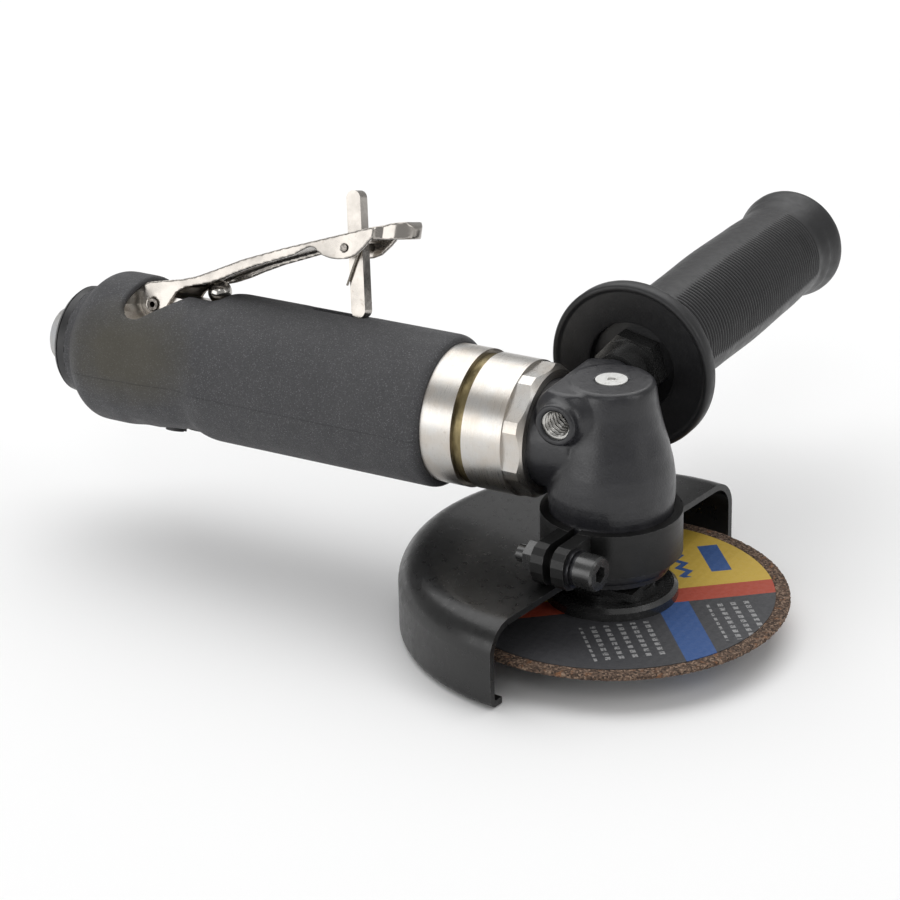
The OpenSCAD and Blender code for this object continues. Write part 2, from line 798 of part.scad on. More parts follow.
module wheel_bush() {
    color([0.7, 0.7, 0.7]) ring(spindle_r + bore_gap, 6, wheel_t);
}

module wheel_labels() {
    color([0.20, 0.20, 0.21]) for (z = [0, wheel_t - label_t])
        translate([0, 0, z]) ring(6.2, label_d / 2, label_t);
}

module outer_flange() {
    color([0.16, 0.16, 0.17]) difference() {
        rotate_extrude() polygon([[0, 0], [outer_flange_r, 0], [outer_flange_r, -2.6],
            [outer_flange_r - 1.4, -outer_flange_t], [0, -outer_flange_t]]);
        up_spindle(-9, 2, spindle_r);
        translate([0, 0, -1]) cylinder(r = 9, h = 2);
    }
}

module wheel_nut() {
    color([0.20, 0.20, 0.21]) translate([0, 0, -8.2]) difference() {
        intersection() {
            cylinder(r = 15.9 / sqrt(3), h = 4.2, $fn = 6);
            cylinder(r1 = 7.9, r2 = 12.2, h = 4.3);
        }
        translate([0, 0, -1]) cylinder(r = spindle_r, h = 7);
    }
}

// Guard --------------------------------------------------------------------------------------

// Section of the guard's sheet: flat top, large bend, skirt and inward lip
module guard_section() {
    bend = [guard_r - guard_bend_r, guard_top_z - guard_bend_r];
    lip_r = 2.6;
    translate([collar_r[0], guard_top_z - guard_t]) square([bend[0] - collar_r[0], guard_t]);
    translate(bend) intersection() {
        difference() {
            circle(r = guard_bend_r);
            circle(r = guard_bend_r - guard_t);
        }
        square(guard_bend_r + 1);
    }
    translate([guard_r - guard_t, lip_r - skirt_drop]) square([guard_t, bend[1] + skirt_drop - lip_r]);
    translate([guard_r - lip_r, lip_r - skirt_drop]) intersection() {
        difference() {
            circle(r = lip_r);
            circle(r = lip_r - guard_t);
        }
        translate([0, -lip_r - 1]) square(lip_r + 1);
    }
    translate([guard_r - lip_r - 2.6, -skirt_drop]) square([2.6, guard_t]);
}

module guard_shell() {
    color([0.10, 0.10, 0.10]) difference() {
        rotate_extrude($fn = 120) guard_section();
        rotate([0, 0, -guard_turn]) translate([guard_cut, -80, -20]) cube([90, 160, 60]);
    }
}

// Puts children drawn on the clamp screw's axis in place: X along the screw
module at_clamp() {
    rotate([0, 0, clamp_azimuth + 90]) translate([0, -clamp_r, clamp_z]) children();
}

// Cylinder along the clamp screw
module along_clamp(x0, x1, r, sides = 48) {
    at_clamp() translate([x0, 0, 0]) rotate([0, 90, 0]) cylinder(r = r, h = x1 - x0, $fn = sides);
}

module guard_collar() {
    half = clamp_gap / 2;
    color([0.14, 0.14, 0.15]) difference() {
        union() {
            up_spindle(collar_z[0], collar_z[1], collar_r[1]);
            at_clamp() translate([-half - clamp_ear_t, 0, 0]) rotate([90, 0, 90])
                linear_extrude(2 * (half + clamp_ear_t)) polygon([[8.6, -6.2], [-1.6, -6.2],
                    [-4, -5.4], [-5.6, -3.6], [-6.2, -1.2], [-6.2, 1.6], [-5.6, 3.8],
                    [-4.2, 5.4], [-2, 6.2], [8.6, 6.2]]);
        }
        up_spindle(0, 40, collar_r[0]);
        at_clamp() translate([-half, -12, -20]) cube([clamp_gap, 26, 40]);
        along_clamp(-20, 20, clamp_screw_r + 0.1);
    }
}

module clamp_screw() {
    face = clamp_gap / 2 + clamp_ear_t + 2.2;
    head_r = 5;
    head_h = 5.4;
    color([0.17, 0.17, 0.18]) difference() {
        union() {
            along_clamp(-12.6, face + 1, clamp_screw_r);
            along_clamp(face, face + head_h, head_r);
            at_clamp() translate([face + head_h, 0, 0]) rotate([0, 90, 0])
                cylinder(r1 = head_r, r2 = head_r - 0.5, h = 0.6);
        }
        along_clamp(face + 2.8, face + 7, 2.5, 6);
    }
}

module clamp_washers() {
    face = clamp_gap / 2 + clamp_ear_t;
    color([0.24, 0.24, 0.25]) difference() {
        union() {
            along_clamp(face, face + 1, 5.5);
            along_clamp(face + 1.1, face + 2.2, 4.7);
        }
        along_clamp(face - 1, face + 4, clamp_screw_r + 0.1);
    }
}

module clamp_nut() {
    face = -clamp_gap / 2 - clamp_ear_t;
    color([0.20, 0.20, 0.21]) difference() {
        along_clamp(face - 4, face, 4.7, 6);
        along_clamp(face - 6, face + 2, clamp_screw_r);
    }
}

// Side handle --------------------------------------------------------------------------------

module handle_stud() {
    color([0.5, 0.5, 0.52]) along_handle(boss_y - insert_depth + 0.5, 74, stud_r);
}

module handle_nut() {
    nut_flange_y = 25.2;
    color([0.13, 0.13, 0.14]) difference() {
        union() {
            along_handle(boss_y + 0.1, nut_flange_y, 7);
            along_handle(nut_flange_y, nut_flange_y + 1.1, 9);
            translate([boss_x, nut_flange_y + 1, boss_z]) rotate([-90, 0, 0]) rotate([0, 0, 12])
                cylinder(r = 18.4 / sqrt(3), h = 5.2, $fn = 6);
        }
        along_handle(0, 50, stud_r);
    }
}

module handle_grip() {
    stop = hand_stop_y;
    recess_r = handle_recess[0];
    color([0.12, 0.12, 0.12]) difference() {
        turned_handle([
            [0, stop[0] + handle_recess[1]], [recess_r, stop[0] + handle_recess[1]],
            [recess_r + 0.8, stop[0] + 0.5], [hand_stop_r - 2.4, stop[0] + 0.5],
            [hand_stop_r - 1.7, stop[0] - 0.4], [hand_stop_r - 0.7, stop[0] - 0.4],
            [hand_stop_r, stop[0] + 0.4], [hand_stop_r, stop[1] - 1], [hand_stop_r - 1, stop[1]],
            [19, stop[1] + 0.6], [handle_r, stop[1] + 3], [handle_r - 0.9, 42],
            [handle_r, 66], [handle_r + 0.4, 90], [handle_r, 115], [handle_r - 0.5, 132],
            [handle_r + 0.4, 137.5], [16.8, 140.5], [17.2, 142], [17.2, handle_end_y - 1.5],
            [16.2, handle_end_y - 0.4], [14.8, handle_end_y], [0, handle_end_y]
        ]);
        along_handle(20, 76, stud_r);
    }
}

// Assembly -----------------------------------------------------------------------------------

grip_sleeve();
motor_housing();
rear_cap();
muffler_felt();
inlet_bushing();
inlet_screen();
cylinder_liner();
front_plate();
rear_plate();
front_retainer();
spacer_ring();
coupling_nut();
rear_bearing_outer();
front_bearing_outer();
pinion_bearing_outer();
spindle_bearing_outer();
head_housing();
grease_fitting();
thread_inserts();
spindle_top_bush();
bearing_cap();
valve_bushing();
valve_seat();
valve_spring();
valve_plug();
speed_regulator();
lever_pin();
handle_stud();
handle_nut();
handle_grip();
rotor();
rotor_vanes();
rear_bearing_inner();
front_bearing_inner();
bevel_pinion();
pinion_bearing_inner();
spindle();
bevel_gear();
gear_circlip();
spindle_bearing_inner();
inner_flange();
cutting_wheel();
wheel_bush();
wheel_labels();
outer_flange();
wheel_nut();
guard_shell();
guard_collar();
clamp_screw();
clamp_washers();
clamp_nut();
throttle_lever();
lock_pin();
lock_lever();
lock_spring();
valve_button();
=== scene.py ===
import json
import math
import bpy
from mathutils import Matrix, Vector, noise


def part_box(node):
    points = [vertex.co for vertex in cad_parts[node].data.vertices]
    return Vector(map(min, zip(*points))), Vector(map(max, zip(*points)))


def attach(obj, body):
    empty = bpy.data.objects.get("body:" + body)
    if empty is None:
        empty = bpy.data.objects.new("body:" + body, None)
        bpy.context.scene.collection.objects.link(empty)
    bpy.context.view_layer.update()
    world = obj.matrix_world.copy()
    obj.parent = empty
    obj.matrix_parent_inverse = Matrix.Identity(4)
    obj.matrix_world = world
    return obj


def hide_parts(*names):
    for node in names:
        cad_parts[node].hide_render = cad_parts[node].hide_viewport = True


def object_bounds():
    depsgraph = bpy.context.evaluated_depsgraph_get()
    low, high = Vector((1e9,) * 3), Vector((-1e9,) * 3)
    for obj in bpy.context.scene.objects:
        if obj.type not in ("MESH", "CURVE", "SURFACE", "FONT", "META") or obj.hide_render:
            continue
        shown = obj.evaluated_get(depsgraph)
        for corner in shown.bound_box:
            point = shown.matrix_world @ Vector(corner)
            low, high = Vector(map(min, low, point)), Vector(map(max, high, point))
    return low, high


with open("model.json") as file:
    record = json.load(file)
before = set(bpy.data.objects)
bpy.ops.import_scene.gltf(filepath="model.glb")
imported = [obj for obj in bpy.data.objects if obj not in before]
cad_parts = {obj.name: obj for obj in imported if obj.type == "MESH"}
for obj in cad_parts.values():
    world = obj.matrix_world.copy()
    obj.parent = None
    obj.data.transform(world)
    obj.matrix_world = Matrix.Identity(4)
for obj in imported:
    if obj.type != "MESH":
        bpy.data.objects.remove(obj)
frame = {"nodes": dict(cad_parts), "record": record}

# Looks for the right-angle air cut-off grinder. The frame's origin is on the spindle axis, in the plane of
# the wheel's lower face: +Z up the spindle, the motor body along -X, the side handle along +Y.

cad_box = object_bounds()
MM = 0.001
nodes = frame["nodes"]


def middle(node):
    """Centre of a CAD node's box."""
    low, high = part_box(node)
    return (Vector(low) + Vector(high)) / 2


# Places that the pieces and the materials share, all read from the frame
AXIS_Z = middle("coupling_nut").z
HANDLE_X = middle("handle_stud").x
HANDLE_Z = middle("handle_stud").z
WHEEL_LOW, WHEEL_HIGH = (Vector(p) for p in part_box("cutting_wheel"))
WHEEL_R = WHEEL_HIGH.x
LABEL_R = Vector(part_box("wheel_labels")[1]).x


# The hand grip's ribs, in millimetres and degrees, for its mesh and its material
RIB_PITCH = 1.5
PANEL_MIDDLE, PANEL_HALF = 30, 47
PANEL_LOW, PANEL_HIGH = 38.0, 131.0


# Camera --------------------------------------------------------------------------------------

def make_camera():
    """A long lens, seen from above the side of the head that faces the camera."""
    data = bpy.data.cameras.new("camera")
    data.sensor_width = 36
    data.lens = 116.67
    camera = bpy.data.objects.new("camera", data)
    bpy.context.scene.collection.objects.link(camera)
    right = Vector((0.87133, 0.49018, -0.02222))
    up = Vector((-0.18172, 0.36441, 0.91334))
    back = Vector((0.45581, -0.79178, 0.40660))
    turn = Matrix((right, up, back)).transposed().to_4x4()
    camera.matrix_world = Matrix.Translation((0.3310, -0.6651, 0.3769)) @ turn
    data.clip_start = 0.01
    data.clip_end = 20
    bpy.context.scene.camera = camera


make_camera()


# Material building ---------------------------------------------------------------------------

class Surface:
    """A material round one Principled shader. Texture positions are in millimetres, at rest."""

    def __init__(self, name, color, roughness, metallic=0.0, **shader):
        self.material = bpy.data.materials.new(name)
        self.material.use_nodes = True
        self.material.diffuse_color = (*color, 1)
        self.tree = self.material.node_tree
        self.shader = self.tree.nodes["Principled BSDF"]
        self.set("Base Color", (*color, 1))
        self.set("Roughness", roughness)
        self.set("Metallic", metallic)
        for socket, value in shader.items():
            self.set(socket.replace("_", " "), value)
        coords = self.tree.nodes.new("ShaderNodeTexCoord")
        self.where = self.vector("SCALE", coords.outputs["Object"], scale=1 / MM)

    def set(self, socket, value):
        """A plain value on the shader, or a link if value is an output."""
        if isinstance(value, bpy.types.NodeSocket):
            self.tree.links.new(value, self.shader.inputs[socket])
        else:
            self.shader.inputs[socket].default_value = value

    def put(self, node, socket, value):
        if isinstance(value, bpy.types.NodeSocket):
            self.tree.links.new(value, node.inputs[socket])
        elif value is not None:
            node.inputs[socket].default_value = value

    def vector(self, operation, a, b=None, scale=None):
        node = self.tree.nodes.new("ShaderNodeVectorMath")
        node.operation = operation
        self.put(node, 0, a)
        self.put(node, 1, b)
        if scale is not None:
            node.inputs["Scale"].default_value = scale
        return node.outputs["Value" if operation in ("DOT_PRODUCT", "LENGTH", "DISTANCE") else "Vector"]

    def math(self, operation, a, b=None, c=None, clamp=False):
        node = self.tree.nodes.new("ShaderNodeMath")
        node.operation = operation
        node.use_clamp = clamp
        for i, value in enumerate((a, b, c)):
            self.put(node, i, value)
        return node.outputs[0]

    def axes(self, vector=None):
        """The x, y and z of a position."""
        node = self.tree.nodes.new("ShaderNodeSeparateXYZ")
        self.put(node, 0, vector or self.where)
        return node.outputs[0], node.outputs[1], node.outputs[2]

    def combine(self, x, y, z):
        node = self.tree.nodes.new("ShaderNodeCombineXYZ")
        for i, value in enumerate((x, y, z)):
            self.put(node, i, value)
        return node.outputs[0]

    def noise(self, size, detail=3, roughness=0.55, at=None, stretch=None):
        """Soft noise from 0 to 1 whose features are about size millimetres across."""
        node = self.tree.nodes.new("ShaderNodeTexNoise")
        at = at or self.where
        if stretch:
            at = self.vector("MULTIPLY", at, stretch)
        self.put(node, "Vector", at)
        node.inputs["Scale"].default_value = 1 / size
        node.inputs["Detail"].default_value = detail
        node.inputs["Roughness"].default_value = roughness
        return node.outputs[0]

    def cells(self, size, output="Distance"):
        """Cells about size millimetres across: the distance to a cell's centre, or its colour."""
        node = self.tree.nodes.new("ShaderNodeTexVoronoi")
        self.put(node, "Vector", self.where)
        node.inputs["Scale"].default_value = 1 / size
        return node.outputs[output]

    def ramp(self, value, *stops):
        """Maps value through stops of (position, number or colour)."""
        node = self.tree.nodes.new("ShaderNodeValToRGB")
        node.color_ramp.interpolation = "LINEAR"
        elements = node.color_ramp.elements
        while len(elements) < len(stops):
            elements.new(0.5)
        for element, (position, shade) in zip(elements, stops):
            element.position = position
            element.color = (shade, shade, shade, 1) if isinstance(shade, (int, float)) else (*shade, 1)
        self.put(node, 0, value)
        return node.outputs[0]

    def mix(self, amount, a, b, blend="MIX"):
        """Colour a with amount of colour b over it."""
        node = self.tree.nodes.new("ShaderNodeMix")
        node.data_type = "RGBA"
        node.blend_type = blend
        self.put(node, 0, amount)
        for socket, value in ((6, a), (7, b)):
            value = (*value, 1) if isinstance(value, tuple) and len(value) == 3 else value
            self.put(node, socket, value)
        return node.outputs[2]

    def bump(self, *layers):
        """Bumps from (height output, depth in millimetres) pairs, laid over each other."""
        normal = None
        for height, depth in layers:
            node = self.tree.nodes.new("ShaderNodeBump")
            node.inputs["Distance"].default_value = depth * MM
            self.put(node, "Height", height)
            self.put(node, "Normal", normal)
            normal = node.outputs[0]
        self.set("Normal", normal)

    def edges(self, radius, low=0.02, high=0.25):
        """1 on sharp edges and 0 on flats, worked out from the shape's own rounding."""
        node = self.tree.nodes.new("ShaderNodeBevel")
        node.samples = 4
        node.inputs["Radius"].default_value = radius * MM
        flat = self.tree.nodes.new("ShaderNodeNewGeometry")
        facing = self.vector("DOT_PRODUCT", node.outputs[0], flat.outputs["Normal"])
        return self.ramp(self.math("SUBTRACT", 1.0, facing), (low, 0.0), (high, 1.0))

    def around(self, axis, centre):
        """(mm along, angle round, mm from) an axis: "x", "y" or "z" through centre, in metres."""
        x, y, z = self.axes(self.vector("SUBTRACT", self.where, tuple(c / MM for c in centre)))
        along, a, b = {"x": (x, y, z), "y": (y, z, x), "z": (z, x, y)}[axis]
        angle = self.math("ARCTAN2", a, b)
        reach = self.vector("LENGTH", self.combine(a, b, 0.0))
        return along, angle, reach

    def turned(self, axis, centre, pitch=0.05, arc=3.0):
        """Fine noise drawn out round an axis, as a lathe or a brush leaves it."""
        along, angle, reach = self.around(axis, centre)
        lines = self.combine(self.math("MULTIPLY", along, 1 / pitch), self.math("MULTIPLY", angle, arc),
                             self.math("MULTIPLY", reach, 1 / pitch))
        return self.noise(1.0, 2, 0.6, at=lines)


MATERIALS = {}


def surface(make):
    """Keeps each material that a function below builds under that function's name."""
    MATERIALS[make.__name__] = make()
    return make


# Materials -----------------------------------------------------------------------------------

@surface
def sleeve_rubber():
    s = Surface("sleeve_rubber", (0.042, 0.043, 0.047), 0.62, Specular_IOR_Level=0.35)
    _, angle, _ = s.around("x", (0, 0, AXIS_Z))
    specks = s.ramp(s.cells(0.5), (0.18, 1.0), (0.38, 0.0))
    chosen = s.ramp(s.noise(0.8, 1), (0.42, 0.0), (0.54, 1.0))
    base = s.mix(s.noise(14, 3), (0.040, 0.040, 0.043), (0.058, 0.058, 0.061))
    mottle = s.ramp(s.noise(0.4, 2, 0.8), (0.35, 0.0), (0.65, 1.0))
    base = s.mix(s.math("MULTIPLY", mottle, 0.6), base, (0.090, 0.090, 0.094))
    base = s.mix(s.math("MULTIPLY", s.math("MULTIPLY", specks, chosen), 0.6), base, (0.20, 0.20, 0.21))
    # A worn, slightly oily patch on the side that faces the hand
    patch_middle, patch_reach = (-150.0, -20.0, 76.0), 40.0
    patch = s.vector("DISTANCE", s.vector("MULTIPLY", s.where, (1.0, 1.0, 1.4)), patch_middle)
    patch = s.math("ADD", patch, s.math("MULTIPLY", s.noise(5, 4), 10.0))
    stain = s.ramp(s.math("DIVIDE", patch, patch_reach), (0.34, 0.62), (0.76, 0.0))
    base = s.mix(stain, base, (0.082, 0.074, 0.050))
    # The mould's parting line, at an angle in radians, on a sleeve of about this radius in millimetres
    seam_angle, sleeve_r = -1.62, 21.0
    seam = s.math("ABSOLUTE", s.math("SUBTRACT", angle, seam_angle))
    seam = s.ramp(s.math("MULTIPLY", seam, sleeve_r), (0.0, 1.0), (0.22, 0.0))
    base = s.mix(s.math("MULTIPLY", seam, 0.45), base, (0.012, 0.012, 0.013))
    s.set("Base Color", base)
    s.set("Roughness", s.ramp(s.noise(6, 4), (0.3, 0.52), (0.7, 0.70)))
    s.bump((s.noise(3.5, 2), 0.05), (s.noise(0.35, 3, 0.75), 0.26), (seam, -0.08))
    return s


def brushed(name, color, warm, roughness, axis, centre, grime=0.25, pitch=0.06):
    """Steel that was turned or brushed round an axis, with warm stains."""
    s = Surface(name, color, roughness, 1.0)
    lines = s.turned(axis, centre, pitch)
    base = s.mix(s.ramp(s.noise(7, 4), (0.35, 0.0), (0.72, 1.0)), color, warm)
    base = s.mix(s.math("MULTIPLY", lines, 0.35), base, (0.32, 0.30, 0.27))
    stain = s.ramp(s.noise(1.6, 5, 0.7), (0.58, 0.0), (0.75, grime))
    base = s.mix(stain, base, (0.16, 0.13, 0.09))
    s.set("Base Color", base)
    low, high = roughness - 0.07, roughness + 0.10
    s.set("Roughness", s.ramp(lines, (0.25, low), (0.75, high)))
    s.bump((lines, 0.012), (s.noise(2.5, 2), 0.01))
    return s


@surface
def body_steel():
    return brushed("body_steel", (0.66, 0.65, 0.63), (0.64, 0.58, 0.51), 0.30, "x", (0, 0, AXIS_Z))


@surface
def machined_steel():
    return brushed("machined_steel", (0.48, 0.49, 0.51), (0.44, 0.43, 0.41), 0.32, "x", (0, 0, AXIS_Z))


@surface
def spindle_steel():
    return brushed("spindle_steel", (0.48, 0.49, 0.51), (0.44, 0.43, 0.41), 0.30, "z", (0, 0, 0))


@surface
def handle_steel():
    centre = (HANDLE_X, 0, HANDLE_Z)
    return brushed("handle_steel", (0.62, 0.62, 0.60), (0.55, 0.53, 0.50), 0.26, "y", centre, 0.4)


@surface
def bearing_steel():
    return brushed("bearing_steel", (0.72, 0.73, 0.75), (0.66, 0.66, 0.66), 0.16, "x", (0, 0, AXIS_Z), 0.1)


@surface
def brass():
    s = Surface("brass", (0.22, 0.175, 0.09), 0.34, 1.0)
    lines = s.turned("x", (0, 0, AXIS_Z), 0.10)
    grime = s.ramp(s.noise(6, 3, 0.5, stretch=(2.0, 1.0, 1.0)), (0.42, 0.0), (0.66, 1.0))
    base = s.mix(lines, (0.17, 0.135, 0.065), (0.27, 0.22, 0.12))
    s.set("Base Color", s.mix(s.math("MULTIPLY", grime, 0.7), base, (0.050, 0.038, 0.018)))
    s.set("Roughness", s.ramp(grime, (0.0, 0.30), (1.0, 0.62)))
    s.bump((lines, 0.03), (grime, 0.03))
    return s


def nickel(name, tint, roughness):
    """Polished plating with fine scratches, dull patches and brown stains."""
    s = Surface(name, tint, roughness, 1.0)
    dull = s.ramp(s.noise(9, 4, 0.55), (0.40, 0.0), (0.72, 1.0))
    stain = s.ramp(s.noise(2.4, 5, 0.72), (0.60, 0.0), (0.78, 0.5))
    base = s.mix(dull, tint, tuple(0.80 * c for c in tint))
    s.set("Base Color", s.mix(stain, base, (0.22, 0.175, 0.13)))
    fine = s.noise(0.35, 3, 0.6, stretch=(0.12, 1.0, 1.0))
    rough = s.math("ADD", s.math("MULTIPLY", dull, 0.20), s.math("MULTIPLY", fine, 0.12))
    s.set("Roughness", s.math("ADD", rough, roughness - 0.06))
    s.bump((fine, 0.004), (s.noise(5, 2), 0.05))
    return s


@surface
def lever_nickel():
    return nickel("lever_nickel", (0.47, 0.44, 0.405), 0.17)


@surface
def ball_steel():
    return nickel("ball_steel", (0.52, 0.50, 0.47), 0.15)


@surface
def pin_steel():
    s = Surface("pin_steel", (0.20, 0.19, 0.18), 0.34, 1.0)
    worn = s.ramp(s.noise(0.8, 4), (0.4, 0.0), (0.7, 1.0))
    s.set("Base Color", s.mix(worn, (0.13, 0.12, 0.11), (0.38, 0.35, 0.32)))
    s.bump((worn, 0.01))
    return s


@surface
def spring_steel():
    s = Surface("spring_steel", (0.46, 0.42, 0.36), 0.26, 1.0)
    drawn = s.noise(0.5, 3)
    s.set("Base Color", s.mix(drawn, (0.30, 0.26, 0.21), (0.58, 0.54, 0.48)))
    s.bump((drawn, 0.01))
    return s


def black_finish(name, color, roughness, grain, grain_depth, wear=0.5, edge=0.35, metallic=0.0, **shader):
    """Black paint or oxide with fine grain, cloudy gloss, scratches and worn edges."""
    s = Surface(name, color, roughness, metallic, **shader)
    cloud = s.noise(9, 4)
    base = s.mix(s.ramp(cloud, (0.3, 0.0), (0.7, 1.0)), color, tuple(1.7 * c for c in color))
    dust = s.ramp(s.cells(1.7), (0.02, 1.0), (0.05, 0.0))
    dust = s.math("MULTIPLY", dust, s.ramp(s.noise(4.5, 2), (0.55, 0.0), (0.62, 0.5)))
    base = s.mix(dust, base, (0.20, 0.20, 0.19))
    worn = s.math("MULTIPLY", s.edges(edge), s.ramp(s.noise(1.1, 4, 0.7), (0.46, 0.0), (0.62, wear)))
    base = s.mix(worn, base, (0.22, 0.215, 0.21))
    s.set("Base Color", base)
    s.set("Roughness", s.ramp(s.noise(2.6, 5, 0.6), (0.3, roughness - 0.06), (0.7, roughness + 0.09)))
    s.bump((s.noise(4, 2), 0.04), (s.noise(grain, 2, 0.6), grain_depth))
    return s


@surface
def head_paint():
    return black_finish("head_paint", (0.010, 0.010, 0.012), 0.33, 0.7, 0.07, Specular_IOR_Level=0.6)


@surface
def guard_paint():
    return black_finish("guard_paint", (0.005, 0.005, 0.005), 0.30, 0.8, 0.02, edge=0.3)


@surface
def collar_finish():
    s = black_finish("collar_finish", (0.009, 0.009, 0.009), 0.36, 0.5, 0.02, metallic=0.3)
    lines = s.turned("z", (0, 0, 0), 0.12, 2.0)
    s.set("Roughness", s.ramp(lines, (0.3, 0.28), (0.7, 0.46)))
    s.bump((lines, 0.03), (s.noise(0.5, 2), 0.02))
    return s


@surface
def black_oxide():
    return black_finish("black_oxide", (0.014, 0.014, 0.016), 0.30, 0.3, 0.012, 0.7, 0.25, 0.5)


@surface
def flange_oxide():
    return black_finish("flange_oxide", (0.050, 0.050, 0.050), 0.24, 0.3, 0.012, 0.9, 0.3, 0.7,
                        Specular_IOR_Level=0.9)


@surface
def black_plastic():
    return black_finish("black_plastic", (0.014, 0.014, 0.015), 0.42, 0.25, 0.02, 0.5)


@surface
def grip_rubber():
    s = Surface("grip_rubber", (0.012, 0.012, 0.013), 0.46, Specular_IOR_Level=0.5)
    dust = s.ramp(s.cells(1.3), (0.03, 1.0), (0.07, 0.0))
    dust = s.math("MULTIPLY", dust, s.ramp(s.noise(6, 2), (0.5, 0.0), (0.6, 0.5)))
    base = s.mix(s.noise(8, 4), (0.009, 0.009, 0.010), (0.018, 0.018, 0.019))
    base = s.mix(dust, base, (0.16, 0.16, 0.15))
    worn = s.math("MULTIPLY", s.edges(0.4), s.ramp(s.noise(1.4, 3), (0.35, 0.0), (0.6, 0.5)))
    base = s.mix(worn, base, (0.10, 0.10, 0.10))
    # Painted shade darkens the grooves nearly to black and a painted highlight lightens the crests on the
    # ribbed panels
    along, angle, _ = s.around("y", (HANDLE_X, 0, HANDLE_Z))
    turn = s.math("SUBTRACT", s.math("DEGREES", angle), PANEL_MIDDLE)
    panel = s.math("LESS_THAN", s.math("PINGPONG", turn, 90.0), PANEL_HALF - 3.0)
    length = s.math("MULTIPLY", s.math("GREATER_THAN", along, PANEL_LOW + 1.0),
                    s.math("LESS_THAN", along, PANEL_HIGH - 1.0))
    panel = s.math("MULTIPLY", panel, length)
    rib = s.math("COSINE", s.math("MULTIPLY", along, math.tau / RIB_PITCH))
    crest = s.math("MULTIPLY", panel, s.ramp(rib, (0.30, 0.0), (0.95, 0.9)))
    groove = s.math("MULTIPLY", panel, s.ramp(s.math("MULTIPLY", rib, -1.0), (0.0, 0.0), (0.6, 0.95)))
    # Painted highlight on the crests, then painted shade in the grooves
    base = s.mix(crest, base, (0.040, 0.040, 0.042))
    s.set("Base Color", s.mix(groove, base, (0.001, 0.001, 0.001)))
    gloss = s.ramp(s.noise(2.4, 5), (0.3, 0.36), (0.7, 0.52))
    s.set("Roughness", s.math("ADD", gloss, s.math("MULTIPLY", groove, 0.4)))
    s.bump((s.noise(3, 2), 0.03), (s.noise(0.4, 2), 0.05))
    return s


@surface
def seal_rubber():
    return black_finish("seal_rubber", (0.02, 0.02, 0.02), 0.5, 0.3, 0.02, 0.0)


@surface
def fitting_white():
    s = Surface("fitting_white", (0.70, 0.70, 0.68), 0.38, 0.55)
    marks = s.ramp(s.noise(0.9, 4, 0.7), (0.55, 0.0), (0.68, 0.6))
    s.set("Base Color", s.mix(marks, (0.76, 0.76, 0.74), (0.30, 0.28, 0.22)))
    lines = s.turned("z", (0, 0, 0), 0.2)
    s.set("Roughness", s.ramp(lines, (0.3, 0.30), (0.7, 0.46)))
    s.bump((lines, 0.01), (marks, -0.02))
    return s


@surface
def gear_steel():
    s = Surface("gear_steel", (0.30, 0.30, 0.31), 0.34, 1.0)
    cut = s.noise(0.25, 2, stretch=(1.0, 1.0, 0.2))
    grease = s.ramp(s.noise(2.4, 4), (0.45, 0.0), (0.6, 0.8))
    s.set("Base Color", s.mix(grease, (0.34, 0.34, 0.35), (0.14, 0.10, 0.05)))
    s.set("Roughness", s.ramp(grease, (0.0, 0.36), (1.0, 0.18)))
    s.bump((cut, 0.01), (grease, 0.08))
    return s


@surface
def cast_metal():
    s = Surface("cast_metal", (0.30, 0.30, 0.31), 0.44, 0.9)
    s.set("Base Color", s.mix(s.noise(1.5, 5), (0.22, 0.22, 0.23), (0.40, 0.40, 0.41)))
    s.bump((s.noise(0.4, 3), 0.03))
    return s


@surface
def vane_plastic():
    s = Surface("vane_plastic", (0.28, 0.16, 0.08), 0.55)
    warp = s.noise(0.4, 1, stretch=(6.0, 1.0, 1.0))
    weft = s.noise(0.4, 1, stretch=(1.0, 1.0, 6.0))
    weave = s.math("MULTIPLY", warp, weft)
    s.set("Base Color", s.mix(weave, (0.20, 0.11, 0.05), (0.42, 0.27, 0.14)))
    s.bump((weave, 0.03))
    return s


@surface
def felt():
    s = Surface("felt", (0.40, 0.37, 0.31), 0.95, Sheen_Weight=0.4)
    fibres = s.noise(0.25, 4, 0.7, stretch=(1.0, 3.0, 1.0))
    s.set("Base Color", s.mix(fibres, (0.28, 0.26, 0.22), (0.50, 0.47, 0.40)))
    s.bump((fibres, 0.15))
    return s


@surface
def abrasive():
    """Resin-bonded grit: brown and tan grains with dark pits."""
    s = Surface("abrasive", (0.15, 0.11, 0.085), 0.85, Specular_IOR_Level=0.3)
    grain = s.cells(0.5, "Color")
    tone = s.axes(grain)[0]
    base = s.ramp(tone, (0.0, (0.030, 0.022, 0.018)), (0.35, (0.085, 0.055, 0.040)),
                  (0.72, (0.15, 0.100, 0.072)), (1.0, (0.30, 0.21, 0.15)))
    pits = s.ramp(s.cells(0.9), (0.0, 1.0), (0.28, 0.0))
    base = s.mix(s.math("MULTIPLY", pits, s.ramp(s.noise(1.4, 2), (0.5, 0.0), (0.6, 0.9))), base,
                 (0.02, 0.016, 0.014))
    rust = s.ramp(s.noise(2.2, 3), (0.60, 0.0), (0.70, 0.7))
    base = s.mix(rust, base, (0.25, 0.115, 0.055))
    s.set("Base Color", base)
    s.bump((s.cells(0.5), 0.15), (s.noise(0.25, 3), 0.08))
    return s


